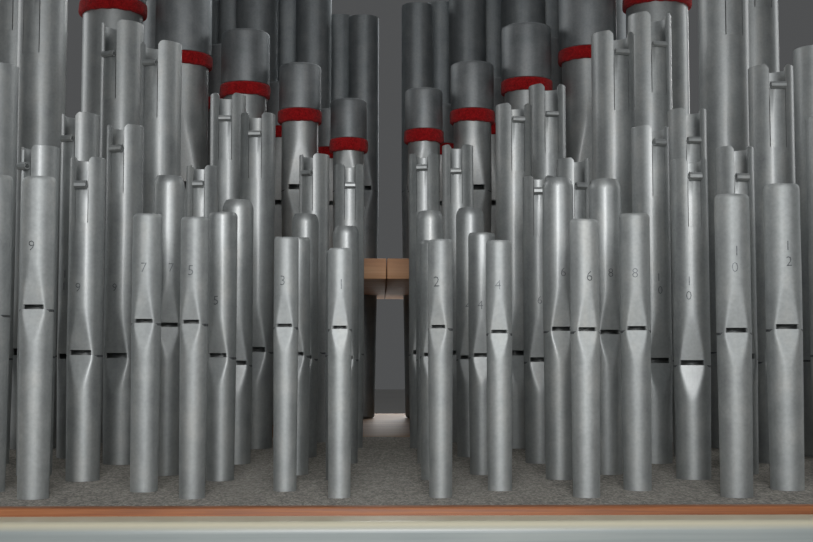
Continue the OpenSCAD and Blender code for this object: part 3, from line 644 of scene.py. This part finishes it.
def makeBody(pipe, length):
    radius = pipe["width"] / 2
    cut = pipe["width"] * tops["cutUp"]
    lipHeight = pipe["width"] * lips["upper"]
    heights = [0, cut]
    heights += [cut + (lipHeight - cut) * t for t in (0.07, 0.15, 0.24, 0.34, 0.45, 0.57, 0.7, 0.85, 1)]
    drawn = pipe["row"] == 3 or pipe["row"] == 2 and 5 <= pipe["note"] <= 7
    shape = cones["drawn" if drawn else "touched"]
    cone = pipe["width"] * shape["height"] if pipe["coned"] else 0
    slotFoot = length - pipe["width"] * tops["slotHeight"]
    last = slotFoot if pipe["slotted"] else length - cone
    steps = (0.35, 0.7, 1) if last > lipHeight + 4 else (1,)
    heights += [lipHeight + (last - lipHeight) * t for t in steps]
    points = [(radius, h) for h in heights]
    if pipe["slotted"]:
        points += [(radius, slotFoot + (length - slotFoot) * t) for t in (0.35, 0.7, 1)]
    elif pipe["coned"]:
        points += [(radius * (1 - (1 - shape["share"]) * t ** shape["power"]), length - cone + cone * t)
                   for t in (0.2, 0.4, 0.6, 0.75, 0.88, 1)]
    bm = spinWall(points)
    mouth = [f for f in bm.faces if abs(frontAngle(f.calc_center_median())) < tops["mouthHalf"]
             and f.calc_center_median().z < cut * mm]
    if pipe["slotted"]:
        mouth += [f for f in bm.faces if f.calc_center_median().z > slotFoot * mm
                  and abs(frontAngle(f.calc_center_median()) - pipe["slotTurn"]) < tops["slotHalf"]]
    bmesh.ops.delete(bm, geom=mouth, context="FACES")
    if pipe["slotted"]:  # the slot's upper corners are filed round
        for vert in bm.verts:
            off = abs(abs(frontAngle(vert.co) - pipe["slotTurn"]) - tops["slotHalf"])
            if vert.co.z > (length - 0.1) * mm and off < tops["cornerReach"]:
                vert.co.z -= tops["corner"] * pipe["width"] * (1 - off / tops["cornerReach"]) ** 2 * mm
    pressLip(bm, pipe["width"], lipHeight, lips["upperFade"], up=True)
    wobble(bm, pipe["note"] + pipe["row"] * 17, *uneven["pipe"])
    if pipe["coned"]:
        for vert in bm.verts:  # knocked with a tuning cone, so the rim isn't quite level or round
            t = max(0, (vert.co.z - (length - cone) * mm) / (cone * mm))
            knock = noise.noise(vert.co * tops["knockWaves"] + Vector((pipe["note"], 0, 0)))
            vert.co.z += t * knock * tops["knock"] * mm
    giveWall(bm, wall["metal"])
    softenRim(bm, length, tops["rimSoft"])
    wrapPipe(bm, pipe)
    return bm


# ---- rolled tongues of the tuning slots
tongueShape = {"half": 20, "rollRadius": 1.4, "turns": 1.6, "thick": 0.35, "gap": 0.15, "steps": 9}


def makeTongue(pipe):
    radius = pipe["width"] / 2
    top = pipe["length"] - pipe["drop"]
    bottom = pipe["length"] - pipe["width"] * tops["slotHeight"]
    roll, thick = tongueShape["rollRadius"], tongueShape["thick"]
    points = [(radius, bottom), (radius, (bottom + top) / 2), (radius, top - roll * 0.8)]
    centre = (radius + roll - thick / 2, top - thick)
    count = int(tongueShape["turns"] * tongueShape["steps"])
    for i in range(count + 1):
        angle = 2 * math.pi * i / tongueShape["steps"]
        r = roll - (thick + tongueShape["gap"]) * i / tongueShape["steps"]
        points.append((centre[0] - r * math.cos(angle), centre[1] + r * math.sin(angle)))
    bm = bmesh.new()
    start = Matrix.Rotation(math.radians(-tongueShape["half"]), 3, "Z")
    verts = [bm.verts.new(start @ Vector((0, -r * mm, z * mm))) for r, z in points]
    geom = verts + [bm.edges.new(pair) for pair in zip(verts, verts[1:])]
    bmesh.ops.spin(bm, geom=geom, cent=(0, 0, 0), axis=(0, 0, 1), steps=6, use_merge=False,
                   angle=math.radians(2 * tongueShape["half"]))
    for vert in bm.verts:  # the roll is straight across, the rest keeps the pipe's curve
        reach = math.hypot(vert.co.x, vert.co.y)
        if vert.co.z > (top - roll * 0.7) * mm or reach > (radius + 0.1) * mm:
            angle = math.atan2(vert.co.x, -vert.co.y)
            vert.co.x = math.sin(angle) * radius * 0.98 * mm
            vert.co.y = -reach + radius * (1 - math.cos(math.radians(tongueShape["half"]))) * mm
    bmesh.ops.rotate(bm, matrix=Matrix.Rotation(math.radians(pipe["slotTurn"]), 3, "Z"), verts=bm.verts)
    wobble(bm, pipe["note"] + pipe["row"] * 17, *uneven["pipe"])  # as the body it belongs to
    bmesh.ops.recalc_face_normals(bm, faces=bm.faces)
    lowest = min(bm.faces, key=lambda face: face.calc_center_median().z)
    middle = lowest.calc_center_median()
    if lowest.normal.dot(Vector((middle.x, middle.y, 0))) < 0:
        bmesh.ops.reverse_faces(bm, faces=bm.faces)
    giveWall(bm, thick)
    wrapPipe(bm, pipe)
    return bm


# ---- the stopped pipes' caps, which the bodies end under
capShape = {"base": 3, "share": 1.12, "felt": 0.9, "show": 7.5, "bulge": 0.6, "round": 1.8,
            "bodyStop": 0.4, "sleeve": 0.45}


def capHeight(width):
    return capShape["base"] + width * capShape["share"]


# ---- languids, soldered between foot and body, with a seam that is flush with the pipe
languidShape = {"windway": 0.4, "seam": 0.02, "soft": 0.12}


def makeLanguid(pipe):
    radius = pipe["width"] / 2
    edge = radius * math.sqrt(1 - lips["share"] ** 2) - wall["metal"] - languidShape["windway"]
    rim, soft, thick = radius + languidShape["seam"], languidShape["soft"], wall["languid"]
    bm = ringWall([(0, 0), (rim - soft, 0), (rim, soft), (rim, thick - soft), (rim - soft, thick),
                   (0, thick)], 48)
    for vert in bm.verts:
        vert.co.y = max(vert.co.y, -edge * mm)
    return bm


def buildRank(name, pipes):
    footMesh, bodyMesh, tongueMesh, languidMesh = bmesh.new(), bmesh.new(), bmesh.new(), bmesh.new()
    for pipe in pipes:
        standPipe(makeFoot(pipe), pipe, footMesh)
        standPipe(makeLanguid(pipe), pipe, languidMesh)
        shorter = capHeight(pipe["width"]) * capShape["bodyStop"] if name == "stopped" else 0
        body = makeBody(pipe, pipe["length"] - wall["languid"] - shorter)
        standPipe(body, pipe, bodyMesh, wall["languid"])
        if pipe["slotted"]:
            standPipe(makeTongue(pipe), pipe, tongueMesh)
    metal = {"twelfth": dullMetal, "open": leadMetal}.get(name, pipeMetal)
    finishPiece(name + "Feet", footMesh, metal, [name + "_feet"])
    finishPiece(name + "Bodies", bodyMesh, metal, [name + "_bodies"])
    if len(tongueMesh.verts):
        finishPiece(name + "Tongues", tongueMesh, pipeMetal, [name + "_tongues"])
    finishPiece(name + "Languids", languidMesh, seamMetal, [name + "_languids"])
    print("organ:", name, "rank built")


standing = {name: frontPipes(rank, trims[name]) for name, rank in frontRanks.items()}
standing.update({name: rearPipes(rank, rearTrims[name]) for name, rank in rearRanks.items()})
for rankName, rankPipes in standing.items():
    buildRank(rankName, rankPipes)


# ---- caps and red felts of the stopped pipes
def makeCap(pipe):
    inner = pipe["width"] / 2 + capShape["felt"]
    outer = inner + wall["metal"]
    height = capHeight(pipe["width"])
    bend = capShape["round"]
    points = [(inner, 0.15), (inner + 0.2, 0), (outer - 0.2, 0), (outer, 0.2), (outer, height * 0.5),
              (outer, height - bend)]
    points += [(outer - bend + bend * math.cos(a), height - bend + bend * math.sin(a))
               for a in (math.radians(d) for d in (18, 36, 54, 72, 90))]
    points += [(outer * 0.5, height - 0.1), (0, height - 0.15), (0, height - wall["metal"]),
               (inner, height - wall["metal"])]
    bm = ringWall(points, 56)
    wobble(bm, pipe["note"] + 90, *uneven["cap"])
    wrapPipe(bm, pipe)
    return bm


# Torn by hand, so the felt's edge wanders: waves and fuzz in a metre, and mm out and up
torn = {"waves": 260, "fuzz": 900, "out": (0.35, 0.12), "up": (0.5, 0.2)}


def makeStopFelt(pipe):
    inner = pipe["width"] / 2 - 0.1
    outer = pipe["width"] / 2 + capShape["felt"]
    show = outer + wall["metal"] + capShape["bulge"]
    sleeve = capShape["show"] + capHeight(pipe["width"]) * capShape["sleeve"]
    points = [(inner, 0.1), (inner + 0.8, 0), (show - 0.9, 0.05), (show - 0.25, 0.5), (show, 1.4),
              (show + 0.05, 3), (show + 0.05, 4.6), (show, 6.1), (show - 0.2, 7), (show - 0.8, 7.45),
              (outer, capShape["show"]), (outer, sleeve), (inner, sleeve)]
    bm = ringWall(points, 72)
    for vert in bm.verts:
        push = noise.noise(vert.co * torn["waves"] + Vector((pipe["note"] * 3.3, 0, 0)))
        fuzz = noise.noise(vert.co * torn["fuzz"] + Vector((0, pipe["note"] * 2.1, 0)))
        if vert.co.z < 7.4 * mm:
            flat = Vector((vert.co.x, vert.co.y, 0)).normalized()
            vert.co += flat * (push * torn["out"][0] + fuzz * torn["out"][1]) * mm
        if vert.co.z < 1 * mm:
            vert.co.z += (push * torn["up"][0] + fuzz * torn["up"][1]) * mm
    return bm


capMesh, stopMesh = bmesh.new(), bmesh.new()
for pipe in standing["stopped"]:
    capFoot = pipe["length"] - capHeight(pipe["width"])
    standPipe(makeCap(pipe), pipe, capMesh, capFoot)
    standPipe(makeStopFelt(pipe), pipe, stopMesh, capFoot - capShape["show"])
finishPiece("stoppedCaps", capMesh, capMetal, ["stopped_caps"])
finishPiece("stoppedFelts", stopMesh, redFelt, ["stopped_felts"], 60)
print("organ: caps and red felts made")


def finalMesh(holder):  # as it is after its modifiers
    return bpy.data.meshes.new_from_object(holder.evaluated_get(bpy.context.evaluated_depsgraph_get()))


# ---- grey felt on the front rack board
feltShape = {"cell": 2.4, "gap": 0.15, "nap": 0.06, "napWaves": 420, "lump": 0.16, "lumpWaves": 90}


def feltBlank(low, high):
    size = high - low
    across, deep = (int(reach / (feltShape["cell"] * mm)) for reach in (size.x, size.y))
    bm = bmesh.new()
    bmesh.ops.create_grid(bm, x_segments=across, y_segments=deep, size=0.5)
    bmesh.ops.scale(bm, vec=(size.x, size.y, 1), verts=bm.verts)
    bmesh.ops.translate(bm, vec=((low.x + high.x) / 2, (low.y + high.y) / 2, high.z), verts=bm.verts)
    rim = [e for e in bm.edges if e.is_boundary]
    sides = bmesh.ops.extrude_edge_only(bm, edges=rim)["geom"]
    lower = [v for v in sides if isinstance(v, bmesh.types.BMVert)]
    bmesh.ops.translate(bm, vec=(0, 0, low.z - high.z), verts=lower)
    lowerRim = [e for e in sides if isinstance(e, bmesh.types.BMEdge) and e.is_boundary]
    bmesh.ops.contextual_create(bm, geom=lowerRim)
    bmesh.ops.recalc_face_normals(bm, faces=bm.faces)
    return meshOf("feltBlank", bm)


def feltCutter(height):
    bm = bmesh.new()
    for name in frontRanks:
        for pipe in standing[name]:
            toe = pipe["width"] / 2 * feet["toe"]
            above = pipe["z"] - layout["feltTop"]
            radius = pipe["width"] / 2 - (pipe["width"] / 2 - toe) * above / pipe["foot"]
            hole = (radius + feltShape["gap"]) * mm
            place = Matrix.Translation((pipe["x"] * mm, pipe["y"] * mm, height))
            bmesh.ops.create_cone(bm, cap_ends=True, segments=28, radius1=hole, radius2=hole,
                                  depth=0.02, matrix=place)
    return meshOf("feltCutter", bm)


def makeFelt():
    low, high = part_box("rack_felt")
    blank = bpy.data.objects.new("feltBlank", feltBlank(low, high))
    cutter = bpy.data.objects.new("feltCutter", feltCutter(high.z))
    for each in (blank, cutter):
        bpy.context.scene.collection.objects.link(each)
    punch = blank.modifiers.new("punch", "BOOLEAN")
    punch.operation, punch.solver, punch.object = "DIFFERENCE", "EXACT", cutter
    punched = finalMesh(blank)
    for each in (blank, cutter):
        bpy.data.objects.remove(each)
    bm = bmesh.new()
    bm.from_mesh(punched)
    bpy.data.meshes.remove(punched)
    for vert in bm.verts:
        if vert.co.z > high.z - 0.01 * mm:
            nap = noise.noise(vert.co * feltShape["napWaves"]) * feltShape["nap"]
            lump = noise.noise(vert.co * feltShape["lumpWaves"]) * feltShape["lump"]
            vert.co.z += (nap + lump - feltShape["lump"] * 0.5) * mm
    bmesh.ops.triangulate(bm, faces=[f for f in bm.faces if len(f.verts) > 4])
    finishPiece("feltSheet", bm, greyFelt, ["rack_felt"], 50)


makeFelt()
print("organ: grey felt made")

# ---- numbers stamped on the pipes, plain figures from 1 up
stamps = {"height": 3.4, "font": 1.35, "thinner": 0.02, "ranks": ("twelfth", "octave", "quint"),
          "proud": 0.1, "aboveLip": 0.55, "step": 1.5, "lean": 0.12, "longest": 0.8}


def figureMesh(figure):
    curve = bpy.data.curves.new("figure", "FONT")
    curve.body = figure
    curve.size = stamps["height"] * mm * stamps["font"]
    curve.align_x, curve.align_y = "CENTER", "CENTER"
    curve.offset = -stamps["thinner"] * stamps["height"] * mm
    curve.resolution_u = 2
    holder = bpy.data.objects.new("figure", curve)
    bpy.context.scene.collection.objects.link(holder)
    flat = finalMesh(holder)
    bpy.data.objects.remove(holder)
    bm = bmesh.new()
    bm.from_mesh(flat)
    bpy.data.meshes.remove(flat)
    longEdges = [e for e in bm.edges if e.calc_length() > stamps["longest"] * mm]
    bmesh.ops.subdivide_edges(bm, edges=longEdges, cuts=1)
    return bm


def stampNumbers():
    target = bmesh.new()
    for pipe in (pipe for name in stamps["ranks"] for pipe in standing[name]):
        figures = str(pipe["note"] + 1)
        start = pipe["width"] * lips["upper"] + pipe["width"] * stamps["aboveLip"]
        reach = (pipe["width"] / 2 + stamps["proud"]) * mm
        for i, figure in enumerate(figures):
            rise = (start + (len(figures) - 1 - i) * stamps["height"] * stamps["step"]) * mm
            lean = stamps["lean"] * math.sin(pipe["note"] * 5.1 + i + pipe["row"])
            bm = figureMesh(figure)
            for vert in bm.verts:
                angle = vert.co.x / reach + lean
                vert.co = Vector((math.sin(angle) * reach, -math.cos(angle) * reach,
                                  vert.co.y + rise))
            standPipe(bm, pipe, target)
    finishPiece("stampedFigures", target, strokeMetal, [])


stampNumbers()
print("organ: figures stamped")

# ---- boards, rail and chests: the CAD shape with its long edges eased
boards = {
    "lippingStrip": {"node": "rack_lipping", "ease": 0.7, "material": lippingWood,
                     "slot": "lipping_wood"},
    "rackBoardFront": {"node": "rack_board_front", "ease": 0.4, "material": rackPine,
                       "slot": "rack_wood"},
    "rackBoardRearLeft": {"node": "rack_board_rear_left", "ease": 0.5, "material": rackPine,
                          "slot": "rack_wood"},
    "rackBoardRearRight": {"node": "rack_board_rear_right", "ease": 0.5, "material": rackPine,
                           "slot": "rack_wood"},
    "toeBoardFront": {"node": "toe_board_front", "ease": 0.6, "material": toeOak,
                      "slot": "toe_board_wood"},
    "toeBoardRear": {"node": "toe_board_rear", "ease": 0.6, "material": toeOak,
                     "slot": "toe_board_wood"},
    "chestFront": {"node": "chest_front", "ease": 0.8, "material": chestPine, "slot": "chest_wood"},
    "chestRear": {"node": "chest_rear", "ease": 0.8, "material": chestPine, "slot": "chest_wood"},
}
shortEdge = 8  # edges no longer than this, such as those round the holes, stay sharp


def easeBoard(name, board):
    bm = bmesh.new()
    bm.from_mesh(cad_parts[board["node"]].data)
    bmesh.ops.remove_doubles(bm, verts=bm.verts, dist=0.001 * mm)
    bmesh.ops.dissolve_limit(bm, angle_limit=math.radians(1), verts=bm.verts, edges=bm.edges)
    edges = [e for e in bm.edges if e.is_manifold and e.calc_face_angle(0) > 1
             and e.calc_length() > shortEdge * mm]
    bmesh.ops.bevel(bm, geom=edges, offset=board["ease"] * mm, offset_type="OFFSET", segments=2,
                    profile=0.5, affect="EDGES", material=-1, clamp_overlap=True)
    finishPiece(name, bm, board["material"], [board["node"]], 40)


for boardName, board in boards.items():
    easeBoard(boardName, board)

# the rail and the turned posts are finished in the CAD, and only get their materials
cadPieces = {"front_rail": railPaint, "rack_posts_front": postBeech, "rack_posts_rear": postBeech}
for nodeName, material in cadPieces.items():
    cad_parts[nodeName].data.materials.clear()
    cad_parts[nodeName].data.materials.append(material)
print("organ: boards eased")

# ---- floor, lamps and world
stage = {"floor": 6, "air": {"Color": linear("c4c6c8"), "Strength": 0.14}, "lamps": {
    "key": {"place": (0, -0.72, 0.345), "aim": (0, -0.1, 0.25), "size": 0.2, "spread": 80, "watts": 0.41},
    "top": {"place": (0.1, 0.1, 2.0), "aim": (0, 0.02, 0.2), "size": 1.5, "spread": 180, "watts": 3},
    "left": {"place": (-1.8, 0.8, 1.0), "aim": (0, 0.05, 0.25), "size": 1.0, "spread": 180, "watts": 8},
    "right": {"place": (1.8, 0.8, 1.0), "aim": (0, 0.05, 0.25), "size": 1.0, "spread": 180, "watts": 8},
    "back": {"place": (0.5, 1.9, 1.1), "aim": (0, 0, 0.3), "size": 1.2, "spread": 180, "watts": 22},
}}


# Painted studio floor: matt and pale, cloudy a few decimetres across
floorLook = {"dark": "d3d1cd", "light": "d9d7d3", "cloud": 3, "rough": 0.85}


def paleFloor():
    material, tree, shader = newMaterial("paleFloor")
    place = addNode(tree, "ShaderNodeTexCoord").outputs["Object"]
    cloud = addNode(tree, "ShaderNodeTexNoise", {"Vector": place, "Scale": floorLook["cloud"],
                                                 "Detail": 4})
    colour = rampColour(tree, cloud.outputs["Fac"], floorLook, (0.3, 0.7))
    tree.links.new(colour, shader.inputs["Base Color"])
    shader.inputs["Roughness"].default_value = floorLook["rough"]
    return material


floorMesh = bmesh.new()
bmesh.ops.create_circle(floorMesh, cap_ends=True, segments=96, radius=stage["floor"])
floorData = meshOf("floor", floorMesh)
floorData.materials.append(paleFloor())
floorPiece = bpy.data.objects.new("floor", floorData)
bpy.context.scene.collection.objects.link(floorPiece)

for lampName, lamp in stage["lamps"].items():
    lampData = bpy.data.lights.new(lampName, "AREA")
    lampData.energy, lampData.size = lamp["watts"], lamp["size"]
    lampData.spread = math.radians(lamp["spread"])
    lampPiece = bpy.data.objects.new(lampName, lampData)
    lampPiece.location = lamp["place"]
    aim = Vector(lamp["aim"]) - Vector(lamp["place"])
    lampPiece.rotation_euler = aim.to_track_quat("-Z", "Y").to_euler()
    bpy.context.scene.collection.objects.link(lampPiece)

world = bpy.data.worlds.new("studio")
bpy.context.scene.world = world
world.use_nodes = True
world.node_tree.nodes.clear()
air = addNode(world.node_tree, "ShaderNodeBackground", stage["air"])
sky = addNode(world.node_tree, "ShaderNodeOutputWorld")
world.node_tree.links.new(air.outputs[0], sky.inputs["Surface"])
bpy.context.scene.view_settings.view_transform = "Standard"
print("organ: stage set")
